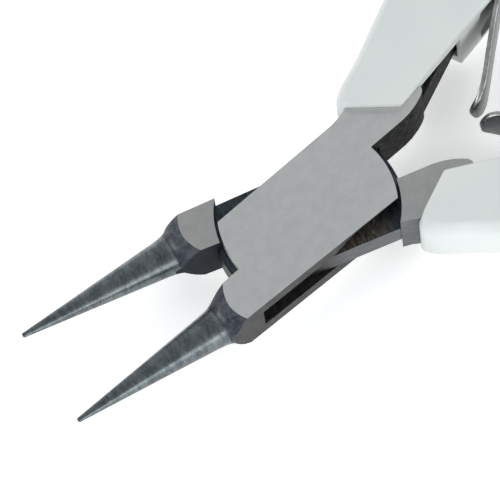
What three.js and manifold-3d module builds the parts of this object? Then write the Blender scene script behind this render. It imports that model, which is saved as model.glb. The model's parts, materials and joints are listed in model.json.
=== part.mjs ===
// Round nose pliers: a small box-joint hand tool with tapering round jaws, moulded handles and a
// return spring of two leaves. Millimetres, +Z up. The pivot axis is the Z axis, +X runs along the tool
// towards the handles, and z = 0 is the lower ground face of the joint.
//
// Each lever is drawn in a frame of its own, as if the tool were shut: x towards the handle, its own
// handle on the +y side and its own jaw on the -y side, z = 0 at mid thickness. The box lever is then
// turned open one way. The web lever is drawn the same way, reflected in y, and turned open the other way.

import * as THREE from 'three';
import { mergeVertices } from 'three/addons/utils/BufferGeometryUtils.js';
import Module from 'manifold-3d';

const manifold = await Module();
manifold.setup();

// ---- Driving dimensions ----

const JOINT_THICKNESS = 6.5;
const HALF_THICK = JOINT_THICKNESS / 2;
const OPEN_ANGLE = 16.93;            // between the two levers as the spring holds them
const PLATE_HALF_WIDTH = 4.6;
const PLATE_TAPER = 0.013;           // the joint is a little wider towards the handles
const CHEEK_RADIUS = 8.35;           // round ends of the box lever's cheeks
const SHOULDER_RADIUS = 8.65;        // hollow shoulders of the web lever around them
const WEB_REACH = 9.0;               // round ends of the web, inside the slot
const SLOT_REACH = 9.25;
const WEB_HALF_THICK = 1.4;
const SLOT_HALF_THICK = 1.6;
const PIN_RADIUS = 1.8;
const PIN_HALF_LENGTH = 2.85;
const PIN_BORE_RADIUS = 1.86;
const PIN_BORE_HALF_LENGTH = 3.0;

const TIP_X = -28.5;
const TIP_RADIUS = 0.25;
const CONE_HALF_ANGLE = 5.855;       // degrees
const CONE_GAP = 0.466;              // from the tool's middle line to the cone's inner side
const CONE_LENGTH = 15.9;
const BLOCK_INNER_Y = -0.3;          // the jaw block's face next to the other jaw
const BLOCK_OUTER_Y = -4.45;
const NECK_INNER_Y = 0.72;

const TANG_HALF_THICK = 2.2;
const TANG_CLEARANCE = 0.3;
const TANG_END_X = 72;

const GRIP_HALF_THICK = 3.8;         // at its front, where it meets the steel
const GRIP_SWELL = 0.25;             // share by which it thickens towards the middle of the hand
const GRIP_INNER_EDGE = 0.4;
const GRIP_OUTER_BEVEL = 1.05;
const GRIP_SIDE_HALF = 2.5;
const GRIP_STATIONS = 44;

const LEAF_THICKNESS = 0.5;
const LEAF_HALF_HEIGHT = 2.65;
const LEAF_STATIONS = 28;
const LEAF_FLEX = 0.53;               // share of the leaf's length where its arm starts
const LEAF_SPLIT = 0.012;            // share of its length left open between root and arm
const CHANNEL_HALF_HEIGHT = 2.85;
const CHANNEL_DEPTH = 0.95;
const SCREW_ALONG = 38;              // x of the leaf's anchor screw
const SCREW_HEAD_RADIUS = 1.7;
const SCREW_HEAD_HEIGHT = 0.9;
const SCREW_SHANK_RADIUS = 0.9;
const SCREW_LENGTH = 3.6;
const FIT_GAP = 0.25;

const ROUND_STEPS = 56;
const ARC_STEPS = 20;
const FAR = 60;

const v2 = (x, y) => new THREE.Vector2(x, y);
const v3 = (x, y, z) => new THREE.Vector3(x, y, z);
const plateEdge = (x) => PLATE_HALF_WIDTH + PLATE_TAPER * x;

// Inner and outer sides of the handle, from its front end to its rounded tail. The two curves have
// matching points, so a section joins them at each station.
const GRIP_INNER = [
  [12.9, 1.85], [14.6, 2.18], [17.5, 2.75], [21.5, 3.53], [27, 4.62], [36, 6.9], [50, 9.9],
  [68, 11.9], [86, 12.1], [103, 10.6], [113.5, 9.2], [118, 11.8],
];
const GRIP_OUTER = [
  [8.9, 5.1], [8.66, 6.1], [9.6, 7.2], [13, 8.6], [19, 11.3], [29, 15.4], [45, 20.4],
  [64, 23.6], [84, 24.2], [102, 22.4], [112, 20.4], [118, 16.6],
];
const TANG_INNER = [[11.5, 0.8], [13.4, 0.86], [15.4, 1.68], [21.3, 4.25], [32, 8.3], [48, 13.2], [72, 16.4]];
const TANG_OUTER = [[72, 19.6], [50, 17.8], [34, 13.6], [22, 8.9], [13.8, 6.1], [10.3, 3.3]];

// ---- Helpers ----

// Turns a closed three.js geometry into a solid that can be joined and cut.
function solid(geometry) {
  const bare = geometry.clone();
  bare.deleteAttribute('normal');
  bare.deleteAttribute('uv');
  const merged = mergeVertices(bare, 1e-4);
  const source = new manifold.Mesh({
    numProp: 3,
    vertProperties: new Float32Array(merged.attributes.position.array),
    triVerts: new Uint32Array(merged.index.array),
  });
  return new manifold.Manifold(source);
}

function geometryOf(body) {
  const result = body.getMesh();
  const geometry = new THREE.BufferGeometry();
  geometry.setAttribute('position', new THREE.BufferAttribute(new Float32Array(result.vertProperties), 3));
  geometry.setIndex(new THREE.BufferAttribute(new Uint32Array(result.triVerts), 1));
  return geometry;
}

// A flat outline, drawn in x and y, raised from z = low to z = high.
function prism(outline, low, high) {
  const geometry = new THREE.ExtrudeGeometry(outline, {
    depth: high - low,
    bevelEnabled: false,
    curveSegments: ARC_STEPS,
  });
  geometry.translate(0, 0, low);
  return solid(geometry);
}

function polygon(points) {
  return new THREE.Shape(points.map(([x, y]) => v2(x, y)));
}

function block(x0, x1, y0, y1, z0, z1) {
  const geometry = new THREE.BoxGeometry(x1 - x0, y1 - y0, z1 - z0);
  geometry.translate((x0 + x1) / 2, (y0 + y1) / 2, (z0 + z1) / 2);
  return solid(geometry);
}

// An upright cylinder about the pivot axis.
function drum(radius, halfHeight) {
  const geometry = new THREE.CylinderGeometry(radius, radius, 2 * halfHeight, ROUND_STEPS);
  geometry.rotateX(Math.PI / 2);
  return solid(geometry);
}

// A closed skin over rings of points, all of one length, with a flat cap on each end ring.
function loft(rings) {
  const size = rings[0].length;
  const positions = rings.flat().flatMap((p) => [p.x, p.y, p.z]);
  const index = [];
  for (let k = 0; k + 1 < rings.length; k += 1) {
    for (let i = 0; i < size; i += 1) {
      const a = k * size + i;
      const b = k * size + ((i + 1) % size);
      index.push(a, b, b + size, a, b + size, a + size);
    }
  }
  const last = (rings.length - 1) * size;
  for (let i = 1; i + 1 < size; i += 1) {
    index.push(0, i + 1, i);
    index.push(last, last + i, last + i + 1);
  }
  const geometry = new THREE.BufferGeometry();
  geometry.setAttribute('position', new THREE.Float32BufferAttribute(positions, 3));
  geometry.setIndex(index);
  return geometry;
}

// The same geometry on the other side of the tool's middle plane, with its faces still pointing out.
function reflected(geometry) {
  const copy = geometry.clone();
  copy.scale(1, -1, 1);
  const index = copy.index.array;
  for (let i = 0; i < index.length; i += 3) {
    [index[i + 1], index[i + 2]] = [index[i + 2], index[i + 1]];
  }
  return copy;
}

function curveThrough(points, height = 0) {
  return new THREE.CatmullRomCurve3(points.map(([x, y]) => v3(x, y, height)), false, 'centripetal');
}

// ---- Steel levers ----

// The plate of a lever: jaw block, round-ended cheek and neck, in one outline.
function plateOutline(radius) {
  const front = -14;
  const cornerX = (side) => Math.sqrt(radius ** 2 - plateEdge(side * radius) ** 2);
  const shape = new THREE.Shape();
  shape.moveTo(front, BLOCK_OUTER_Y);
  shape.lineTo(cornerX(1), -plateEdge(radius));
  shape.absarc(0, 0, radius, Math.atan2(-plateEdge(radius), cornerX(1)), Math.asin(NECK_INNER_Y / radius), false);
  shape.lineTo(13.3, NECK_INNER_Y + 0.1);
  shape.lineTo(15.3, 1.62);
  shape.quadraticCurveTo(15.75, 1.95, 15.45, 2.12);
  shape.lineTo(12.75, 1.62);
  shape.lineTo(8.85, 5.0);
  shape.lineTo(8.1, plateEdge(8));
  shape.lineTo(-cornerX(-1), plateEdge(-radius));
  const start = Math.PI - Math.atan2(plateEdge(-radius), cornerX(-1));
  shape.absarc(0, 0, radius, start, Math.PI - Math.asin(BLOCK_INNER_Y / radius), false);
  shape.lineTo(front, BLOCK_INNER_Y - 0.17);
  return shape;
}

// The round jaw about its own axis: a long taper, then a flare that runs back into the jaw block.
function roundJaw() {
  const slope = Math.tan(THREE.MathUtils.degToRad(CONE_HALF_ANGLE));
  const base = TIP_RADIUS + CONE_LENGTH * slope;
  const profile = [
    v2(0, 0),
    v2(TIP_RADIUS * 0.75, 0),
    v2(TIP_RADIUS, TIP_RADIUS * 0.6),
    v2(base, CONE_LENGTH),
    v2(base + 0.12, CONE_LENGTH + 0.25),
    v2(base + 0.62, CONE_LENGTH + 0.75),
    v2(3.25, CONE_LENGTH + 1.28),
    v2(3.95, CONE_LENGTH + 1.9),
    v2(6, CONE_LENGTH + 3.5),
    v2(0, CONE_LENGTH + 3.5),
  ];
  const geometry = new THREE.LatheGeometry(profile, ROUND_STEPS);
  geometry.rotateZ(-Math.PI / 2);
  geometry.rotateZ(THREE.MathUtils.degToRad(-CONE_HALF_ANGLE));
  geometry.translate(TIP_X, -(CONE_GAP + TIP_RADIUS), 0);
  return solid(geometry);
}

// Cuts the square front of a jaw block to the flare, and puts the round jaw on it.
function withRoundJaw(steel) {
  const jaw = roundJaw();
  const flareEnd = -10.2;
  const waste = block(-FAR, flareEnd, -FAR, FAR, -FAR, FAR).subtract(jaw);
  const needle = jaw.intersect(block(-FAR, TIP_X + CONE_LENGTH + 0.1, -FAR, FAR, -FAR, FAR));
  return steel.subtract(waste).add(needle);
}

function tangOutline(gap = 0) {
  const inner = TANG_INNER.map(([x, y]) => [x + (x === TANG_END_X ? gap : 0), y - gap]);
  const outer = TANG_OUTER.map(([x, y]) => [x + (x === TANG_END_X ? gap : 0), y + gap]);
  return polygon([...inner, ...outer]);
}

function pinBore() {
  return drum(PIN_BORE_RADIUS, PIN_BORE_HALF_LENGTH);
}

function screwHole(radius, depth) {
  const geometry = new THREE.CylinderGeometry(radius, radius, depth, 24);
  geometry.translate(0, -depth / 2 + 1, 0);
  return solid(geometry.applyMatrix4(screwPlace()));
}

// The lever that the other passes through: two cheeks with a slot between them.
function boxLever() {
  const plate = prism(plateOutline(CHEEK_RADIUS), -HALF_THICK, HALF_THICK);
  const tang = prism(tangOutline(), -TANG_HALF_THICK, TANG_HALF_THICK);
  const slot = block(-SLOT_REACH, SLOT_REACH, -FAR, FAR, -SLOT_HALF_THICK, SLOT_HALF_THICK);
  const steel = withRoundJaw(plate).subtract(slot);
  return steel.add(tang).subtract(slot).subtract(pinBore()).subtract(screwHole(SCREW_SHANK_RADIUS + 0.1, 4.8));
}

// The lever whose thin web passes through the slot, with full thickness outside the hollow shoulders.
function webLever() {
  const plate = prism(plateOutline(CHEEK_RADIUS), -HALF_THICK, HALF_THICK);
  const tang = prism(tangOutline(), -TANG_HALF_THICK, TANG_HALF_THICK);
  const ends = withRoundJaw(plate).add(tang).subtract(drum(SHOULDER_RADIUS, FAR));
  const span = SHOULDER_RADIUS + 0.6;
  const strip = polygon([
    [-span, -plateEdge(-span)], [span, -plateEdge(span)], [span, plateEdge(span)], [-span, plateEdge(-span)],
  ]);
  const web = prism(strip, -WEB_HALF_THICK, WEB_HALF_THICK).intersect(drum(WEB_REACH, FAR));
  return ends.add(web).subtract(pinBore()).subtract(screwHole(SCREW_SHANK_RADIUS + 0.1, 4.8));
}

function jointPin() {
  const chamfer = 0.2;
  const profile = [
    v2(0, -PIN_HALF_LENGTH),
    v2(PIN_RADIUS - chamfer, -PIN_HALF_LENGTH),
    v2(PIN_RADIUS, -PIN_HALF_LENGTH + chamfer),
    v2(PIN_RADIUS, PIN_HALF_LENGTH - chamfer),
    v2(PIN_RADIUS - chamfer, PIN_HALF_LENGTH),
    v2(0, PIN_HALF_LENGTH),
  ];
  return new THREE.LatheGeometry(profile, ROUND_STEPS).rotateX(Math.PI / 2);
}

// ---- Moulded handles ----

// One cross-section: inner wall with a small edge, flat faces, and a wide bevel on the outer side.
function gripSection(inner, outer, scaleZ) {
  const width = inner.distanceTo(outer);
  const across = outer.clone().sub(inner).normalize();
  const bevel = Math.min(GRIP_OUTER_BEVEL, width / 3);
  const edge = GRIP_INNER_EDGE;
  const top = GRIP_HALF_THICK;
  const half = [
    [0, top - 1.6], [0.12, top - edge], [edge, top - 0.08], [edge * 2, top],
    [width - bevel, top], [width - bevel * 0.35, top - 0.5], [width, GRIP_SIDE_HALF],
  ];
  const mirror = half.map(([n, z]) => [n, -z]).reverse();
  return [...half, ...mirror].reverse().map(([n, z]) => {
    const p = inner.clone().addScaledVector(across, n);
    p.z = z * scaleZ;
    return p;
  });
}

function gripShell() {
  const innerCurve = curveThrough(GRIP_INNER);
  const outerCurve = curveThrough(GRIP_OUTER);
  const rings = [];
  for (let k = 0; k <= GRIP_STATIONS; k += 1) {
    const t = k / GRIP_STATIONS;
    const inner = innerCurve.getPoint(t);
    const outer = outerCurve.getPoint(t);
    const x = (inner.x + outer.x) / 2;
    const swell = 1 + GRIP_SWELL * THREE.MathUtils.smoothstep(x, 24, 62);
    const tail = Math.sqrt(1 - 0.75 * Math.min(Math.max((x - 108) / 10, 0), 1) ** 2);
    rings.push(gripSection(inner, outer, swell * tail));
  }
  return solid(loft(rings));
}

// Where the leaf lies against the handle's inner wall.
function wallPoint(x) {
  const curve = curveThrough(GRIP_INNER);
  let low = 0;
  let high = 1;
  for (let k = 0; k < 40; k += 1) {
    const middle = (low + high) / 2;
    if (curve.getPoint(middle).x < x) low = middle;
    else high = middle;
  }
  return { point: curve.getPoint(low), along: curve.getTangent(low) };
}

// The screw's own frame: its axis is Y, pointing out of the wall into the space between the handles.
function screwPlace() {
  const { point, along } = wallPoint(SCREW_ALONG);
  const outward = v3(along.y, -along.x, 0);
  const seat = point.clone().addScaledVector(outward, -CHANNEL_DEPTH + FIT_GAP + LEAF_THICKNESS + 0.12);
  return new THREE.Matrix4()
    .makeBasis(along, outward, v3(0, 0, 1).negate())
    .setPosition(seat);
}

// The long shallow recess in the inner wall that the root of the leaf lies in. It rises to nothing at
// its front end, where the leaf swings out of it.
function springChannel() {
  const stretch = [24.6, 28, 32, 38, 42.5].map((x) => wallPoint(x));
  const open = stretch.map(({ point, along }) => [point.x + along.y * 3, point.y - along.x * 3]);
  const floor = stretch.map(({ point, along }, k) => {
    const depth = k === 0 ? 0.3 : CHANNEL_DEPTH;
    return [point.x - along.y * depth, point.y + along.x * depth];
  });
  return prism(polygon([...open, ...floor.reverse()]), -CHANNEL_HALF_HEIGHT, CHANNEL_HALF_HEIGHT);
}

function grip() {
  const wall = TANG_HALF_THICK + TANG_CLEARANCE;
  const cavity = prism(tangOutline(TANG_CLEARANCE), -wall, wall);
  const neckRoom = prism(polygon([[6, -4], [15.9, -4], [15.9, 2.4], [12.95, 1.9], [9.05, 5.25], [7, 5.05]]), -FAR, FAR);
  const besideTang = polygon([
    [11, -3], [22.6, 1.5], [21.5, 4.0], [21.2, 5.2], [13.6, 5.2], [12.9, 1.5],
  ]);
  const window = prism(besideTang, -wall, wall);
  const lowerCut = polygon([[12, -3], [22.6, 1.5], [21.6, 4.05], [15.6, 1.35]]);
  const lowerWindow = prism(lowerCut, -FAR, 0);
  return gripShell()
    .subtract(neckRoom)
    .subtract(cavity)
    .subtract(window)
    .subtract(lowerWindow)
    .subtract(springChannel())
    .subtract(screwHole(SCREW_SHANK_RADIUS + FIT_GAP, 4.8));
}

// ---- Return spring ----

// The leaf's middle line: along the recess, out across the gap between the handles, and round to its tip.
function leafLine() {
  const lift = CHANNEL_DEPTH - FIT_GAP - LEAF_THICKNESS / 2;
  const root = [42, 38, 34, 30.5].map((x) => {
    const { point, along } = wallPoint(x);
    return [point.x - along.y * lift, point.y + along.x * lift];
  });
  const free = [[28.4, 5.25], [27.1, 4.45], [24.1, 2.0], [21.2, -0.5], [20.1, -1.35], [19.1, -1.84], [18.15, -1.92]];
  return curveThrough([...root, ...free]);
}

// One stretch of the leaf, from one share of its length to another. Its free end is a half round.
function leafStretch(from, to) {
  const line = leafLine();
  const round = LEAF_HALF_HEIGHT / line.getLength();
  const rings = [];
  for (let k = 0; k <= LEAF_STATIONS; k += 1) {
    const at = from + (to - from) * Math.sin((Math.PI / 2) * (k / LEAF_STATIONS));
    const point = line.getPointAt(at);
    const along = line.getTangentAt(at);
    const beyond = Math.max((at - (1 - round)) / round, 0);
    const half = LEAF_HALF_HEIGHT * Math.sqrt(1 - (beyond * 0.995) ** 2);
    const side = v3(-along.y, along.x, 0).multiplyScalar(LEAF_THICKNESS / 2);
    rings.push([
      point.clone().add(side).setZ(-half),
      point.clone().add(side).setZ(half),
      point.clone().sub(side).setZ(half),
      point.clone().sub(side).setZ(-half),
    ]);
  }
  return solid(loft(rings));
}

// The leaf bends as it works, so it is two solids: a root that stays in its recess and an arm that swings
// about LEAF_FLEX, with a narrow gap between them.
function leafRoot() {
  return leafStretch(0, LEAF_FLEX - LEAF_SPLIT).subtract(screwHole(SCREW_SHANK_RADIUS + 0.15, 4.8));
}

function leafArm() {
  return leafStretch(LEAF_FLEX, 1);
}

function springScrew() {
  const profile = [
    v2(0, -SCREW_LENGTH),
    v2(SCREW_SHANK_RADIUS, -SCREW_LENGTH),
    v2(SCREW_SHANK_RADIUS, 0),
    v2(SCREW_HEAD_RADIUS, 0),
    v2(SCREW_HEAD_RADIUS, SCREW_HEAD_HEIGHT * 0.6),
    v2(SCREW_HEAD_RADIUS * 0.6, SCREW_HEAD_HEIGHT),
    v2(0, SCREW_HEAD_HEIGHT),
  ];
  const head = solid(new THREE.LatheGeometry(profile, 32));
  const drive = block(-SCREW_HEAD_RADIUS, SCREW_HEAD_RADIUS, SCREW_HEAD_HEIGHT - 0.45, 2, -0.2, 0.2);
  return geometryOf(head.subtract(drive)).applyMatrix4(screwPlace());
}

// ---- Materials ----

const steel = (colour, roughness) => new THREE.MeshStandardMaterial({ color: colour, roughness, metalness: 1 });
const groundSteel = steel(0xa4a6a4, 0.45);
const springSteel = steel(0x55585a, 0.35);
const screwSteel = steel(0x6a6c6e, 0.3);
const whiteMoulding = new THREE.MeshStandardMaterial({ color: 0xdbe0dc, roughness: 0.5, metalness: 0 });

// ---- Assembly ----

function piece(name, geometry, material) {
  const finished = geometry.clone();
  finished.computeVertexNormals();
  const mesh = new THREE.Mesh(finished, material);
  mesh.name = name;
  return mesh;
}

const tool = new THREE.Group();
const boxSide = new THREE.Group();
const webSide = new THREE.Group();
boxSide.rotation.z = THREE.MathUtils.degToRad(OPEN_ANGLE / 2);
webSide.rotation.z = THREE.MathUtils.degToRad(-OPEN_ANGLE / 2);
boxSide.position.z = HALF_THICK;
webSide.position.z = HALF_THICK;

const gripGeometry = geometryOf(grip());
const rootGeometry = geometryOf(leafRoot());
const armGeometry = geometryOf(leafArm());
const screwGeometry = springScrew();

boxSide.add(
  piece('box_lever', geometryOf(boxLever()), groundSteel),
  piece('joint_pin', jointPin(), groundSteel),
  piece('box_grip', gripGeometry, whiteMoulding),
  piece('box_leaf_root', rootGeometry, springSteel),
  piece('box_leaf_arm', armGeometry, springSteel),
  piece('box_spring_screw', screwGeometry, screwSteel),
);
webSide.add(
  piece('web_lever', reflected(geometryOf(webLever())), groundSteel),
  piece('web_grip', reflected(gripGeometry), whiteMoulding),
  piece('web_leaf_root', reflected(rootGeometry), springSteel),
  piece('web_leaf_arm', reflected(armGeometry), springSteel),
  piece('web_spring_screw', reflected(screwGeometry), screwSteel),
);
tool.add(boxSide, webSide);

export default tool;
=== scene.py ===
import json
import math

import bmesh
import bpy
from mathutils import Matrix, Vector


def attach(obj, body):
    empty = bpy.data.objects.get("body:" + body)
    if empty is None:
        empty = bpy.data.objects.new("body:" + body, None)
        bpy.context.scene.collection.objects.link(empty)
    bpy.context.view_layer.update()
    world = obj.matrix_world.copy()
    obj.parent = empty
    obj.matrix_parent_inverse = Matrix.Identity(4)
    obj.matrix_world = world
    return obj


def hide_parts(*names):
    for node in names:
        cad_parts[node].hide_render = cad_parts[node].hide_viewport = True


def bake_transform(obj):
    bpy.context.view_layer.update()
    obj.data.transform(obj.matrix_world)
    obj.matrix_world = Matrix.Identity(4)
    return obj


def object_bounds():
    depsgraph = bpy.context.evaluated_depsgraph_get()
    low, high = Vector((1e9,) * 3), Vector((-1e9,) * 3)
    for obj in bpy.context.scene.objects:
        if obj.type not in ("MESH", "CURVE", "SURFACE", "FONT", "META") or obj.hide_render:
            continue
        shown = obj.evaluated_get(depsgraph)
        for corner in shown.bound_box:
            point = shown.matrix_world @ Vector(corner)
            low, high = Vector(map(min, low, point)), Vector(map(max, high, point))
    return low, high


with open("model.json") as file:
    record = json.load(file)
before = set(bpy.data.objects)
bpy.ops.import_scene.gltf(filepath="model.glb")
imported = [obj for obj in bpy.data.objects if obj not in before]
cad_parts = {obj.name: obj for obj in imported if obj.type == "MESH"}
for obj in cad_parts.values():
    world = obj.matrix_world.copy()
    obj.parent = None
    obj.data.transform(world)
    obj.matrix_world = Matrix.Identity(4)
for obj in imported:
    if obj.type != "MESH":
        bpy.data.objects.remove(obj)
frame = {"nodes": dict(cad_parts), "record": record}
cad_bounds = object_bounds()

# Round nose pliers. Each lever is drawn in a frame of its own, in millimetres, as if the tool were shut:
# x towards the handle, its own handle on the +y side, its own jaw on the -y side, z = 0 at mid thickness.
# place() then turns it open and puts it in the frame's metres. The web side is the same drawing, reflected.

MM = 0.001
joints = {joint["name"]: joint for joint in frame["record"]["behaviour"]["joints"]}
pivot = Vector(joints["jaw_hinge"]["pos_m"])

# The joint: cheeks, web, slot and pin bore.
OPEN_ANGLE = math.radians(16.93)
HALF_THICK = pivot.z / MM
PLATE_HALF_WIDTH = 4.6
PLATE_TAPER = 0.013
CHEEK_RADIUS = 8.35
SHOULDER_RADIUS = 8.65
WEB_REACH = 9.0
SLOT_REACH = 9.25
WEB_HALF_THICK = 1.4
SLOT_HALF_THICK = 1.6
PIN_BORE_RADIUS = 1.86
PIN_BORE_HALF_LENGTH = 3.0

# The round jaw, the block behind it and the neck.
TIP_X = -28.5
TIP_RADIUS = 0.25
CONE_HALF_ANGLE = math.radians(5.855)
CONE_GAP = 0.466
CONE_LENGTH = 15.9
FLARE_END = -10.2
JAW_ROOM = 5
BLOCK_FRONT = -13.2
BLOCK_INNER_Y = -0.3
BLOCK_OUTER_Y = -4.45
BLOCK_LEAN = 0.17
NECK_INNER_Y = 0.72
NECK_END_X = 15.7
EDGE_ROUNDING = 0.08

# The chamfer inside the mouth of the slot. Each station is an x and a share of the full depth.
MOUTH_DEPTH = 1.55
MOUTH_LIP = 0.12
MOUTH_COVER = 0.27
MOUTH_STATIONS = ((-0.6, 0.0), (0.2, 0.3), (0.9, 0.66), (1.7, 0.9), (2.8, 1.0), (9.5, 1.0))

# The tang inside the handle.
TANG_HALF_THICK = 2.2
TANG_CLEARANCE = 0.3
TANG_END_X = 72
TANG_ROUNDING = 0.35

# The handle, which swells between two x and grows thinner and narrower at its tail.
GRIP_HALF_THICK = 3.8
GRIP_SWELL = 0.25
GRIP_SWELL_X = (24, 62)
GRIP_STATIONS = 150
GRIP_ROUNDING = 0.06
TAIL_X = 108
TAIL_LENGTH = 10
TAIL_FLATTENING = 0.75
TAIL_SHARE = 0.93
TAIL_NARROWING = 0.85
WALL_STATIONS = 2400

# The spring leaf, the channel that its root lies in, and the screw.
LEAF_THICKNESS = 0.5
LEAF_HALF_HEIGHT = 2.65
LEAF_EDGE_RADIUS = 0.13
LEAF_STATIONS = 110
LEAF_LINE_STATIONS = 600
LEAF_SEAT_XS = (42, 38, 34, 30.5)
CHANNEL_DEPTH = 0.95
CHANNEL_MOUTH_DEPTH = 0.3
CHANNEL_HALF_HEIGHT = 2.85
CHANNEL_MOUTH_X = 24.6
CHANNEL_XS = (28, 32, 38, 42.5)
SCREW_ALONG = 38
SCREW_HEAD_RADIUS = 1.7
SCREW_HEAD_HEIGHT = 0.9
SCREW_HEAD_GAP = 0.12
SCREW_SLOT_DEPTH = 0.45
SCREW_SLOT_HALF_WIDTH = 0.2
SCREW_SHANK_RADIUS = 0.9
SCREW_LENGTH = 3.6
SCREW_HOLE_DEPTH = 3.8
SCREW_ROUNDING = 0.03
FIT_GAP = 0.25

# Steps of round shapes, the angle from which an edge is shaded sharp, and a length that takes a cut
# past the steel.
ROUND_STEPS = 144
ARC_STEPS = 56
SMOOTH_ANGLE = math.radians(32)
FAR = 60

# Outlines, as (x, y) pairs.

NECK_LOBE = [
    (12.3, 0.79), (13.2, 0.9), (14.2, 1.16), (15.0, 1.49), (15.4, 1.72), (15.62, 1.99), (15.68, 2.26),
]
NECK_BACK = [(15.6, 2.34), (12.95, 1.87), (9.03, 5.22), (8.1, 4.93), (7.0, 4.76)]

GRIP_INNER = [
    (12.9, 1.85), (14.6, 2.18), (17.5, 2.75), (21.5, 3.53), (27, 4.62), (36, 6.9), (50, 9.9),
    (68, 11.9), (86, 12.1), (103, 10.6), (113.5, 9.2), (118, 11.8),
]
GRIP_OUTER = [
    (8.9, 5.1), (8.66, 6.0), (9.6, 6.95), (13, 8.42), (19, 11.3), (29, 15.4), (45, 20.4),
    (64, 23.6), (84, 24.2), (102, 22.4), (112, 20.4), (118, 16.6),
]
TANG_INNER = [(11.5, 0.8), (13.4, 0.86), (15.4, 1.68), (21.3, 4.25), (32, 8.3), (48, 13.2), (72, 16.4)]
TANG_OUTER = [(72, 19.6), (50, 17.8), (34, 13.6), (22, 8.9), (13.8, 6.1), (10.3, 3.3)]
NECK_ROOM = [(6, -4), (15.9, -4), (15.9, 2.4), (12.95, 1.9), (9.05, 5.25), (7, 5.05)]
TANG_WINDOW = [(11, -3), (22.6, 1.5), (21.5, 4.0), (21.2, 5.2), (13.6, 5.2), (12.9, 1.5)]
LOWER_WINDOW = [(12, -3), (22.6, 1.5), (20.95, 5.5), (14.9, 2.75)]
LEAF_FREE = [
    (28.4, 5.25), (27.1, 4.45), (24.1, 2.0), (21.2, -0.5), (20.1, -1.35), (19.1, -1.84), (18.15, -1.92),
]

# The flare behind the round jaw, as (radius, distance) pairs. The distance is past the taper's end. The
# flare's radii are added to the taper's last one, and the foot's are whole radii, ending in the jaw block.

JAW_FLARE = [
    (-0.14, -1.4), (-0.04, -0.7), (0.08, -0.2), (0.2, 0.1), (0.42, 0.34), (0.72, 0.6), (1.03, 0.88),
]
JAW_FOOT = [(3.28, 1.22), (3.62, 1.6), (3.98, 2.02), (6, 4.6), (0, 4.6)]

# ---- Camera ----

CAMERA_AZIMUTH = math.radians(-22.719)
CAMERA_ELEVATION = math.radians(69.367)
CAMERA_ROLL = math.radians(-9.83)
CAMERA_DISTANCE = 555.8
CAMERA_ASIDE = -5.467
CAMERA_RAISED = -2.67
SENSOR = 36
LENS = 433.8


def add_camera():
    """A long lens, from above the front of the joint."""
    level = math.cos(CAMERA_ELEVATION)
    back = Vector((
        math.sin(CAMERA_AZIMUTH) * level,
        -math.cos(CAMERA_AZIMUTH) * level,
        math.sin(CAMERA_ELEVATION),
    ))
    right = Vector((math.cos(CAMERA_AZIMUTH), math.sin(CAMERA_AZIMUTH), 0))
    up = back.cross(right)
    turned_right = right * math.cos(CAMERA_ROLL) + up * math.sin(CAMERA_ROLL)
    turned_up = up * math.cos(CAMERA_ROLL) - right * math.sin(CAMERA_ROLL)
    offset = back * CAMERA_DISTANCE + turned_right * CAMERA_ASIDE + turned_up * CAMERA_RAISED
    data = bpy.data.cameras.new("camera")
    data.sensor_width = SENSOR
    data.lens = LENS
    camera = bpy.data.objects.new("camera", data)
    axes = Matrix((turned_right, turned_up, back)).transposed().to_4x4()
    camera.matrix_world = Matrix.Translation(pivot + offset * MM) @ axes
    bpy.context.collection.objects.link(camera)
    bpy.context.scene.camera = camera


# ---- Mesh helpers, in millimetres ----

def mesh_object(name, vertices, faces):
    """A new object with all its faces turned outwards."""
    mesh = bpy.data.meshes.new(name)
    mesh.from_pydata([tuple(vertex) for vertex in vertices], [], faces)
    mesh.validate()
    obj = bpy.data.objects.new(name, mesh)
    bpy.context.collection.objects.link(obj)
    outward(mesh)
    return obj


def outward(mesh):
    """Turns every face of a closed mesh outwards."""
    work = bmesh.new()
    work.from_mesh(mesh)
    bmesh.ops.recalc_face_normals(work, faces=work.faces)
    work.to_mesh(mesh)
    work.free()


def prism(outline, low, high):
    """A flat outline, drawn in x and y, raised from z = low to z = high."""
    count = len(outline)
    vertices = [(x, y, low) for x, y in outline] + [(x, y, high) for x, y in outline]
    sides = [(i, (i + 1) % count, (i + 1) % count + count, i + count) for i in range(count)]
    caps = [tuple(reversed(range(count))), tuple(range(count, 2 * count))]
    return mesh_object("prism", vertices, sides + caps)


def block(x0, x1, y0, y1, z0, z1):
    """A box to cut with."""
    return prism([(x0, y0), (x1, y0), (x1, y1), (x0, y1)], z0, z1)


def arc(radius, start, end, steps=ARC_STEPS):
    """Points of a circle about the pivot, between two angles."""
    angles = [start + (end - start) * k / steps for k in range(steps + 1)]
    return [(radius * math.cos(angle), radius * math.sin(angle)) for angle in angles]


def drum(radius, half_height, steps=ROUND_STEPS):
    """A round solid about the pin's axis."""
    return prism(arc(radius, 0, math.tau * (1 - 1 / steps), steps - 1), -half_height, half_height)


def lathe(profile, steps=ROUND_STEPS):
    """A closed round solid about the Y axis, from (radius, y) pairs that start and end on the axis."""
    inner = profile[1:-1]
    vertices = []
    for k in range(steps):
        angle = math.tau * k / steps
        vertices += [(r * math.cos(angle), y, r * math.sin(angle)) for r, y in inner]
    count = len(inner)
    faces = []
    for k in range(steps):
        near = k * count
        far = ((k + 1) % steps) * count
        faces += [(near + i, near + i + 1, far + i + 1, far + i) for i in range(count - 1)]
    faces.append(tuple(k * count for k in range(steps)))
    faces.append(tuple(k * count + count - 1 for k in range(steps)))
    return mesh_object("lathe", vertices, faces)


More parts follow.
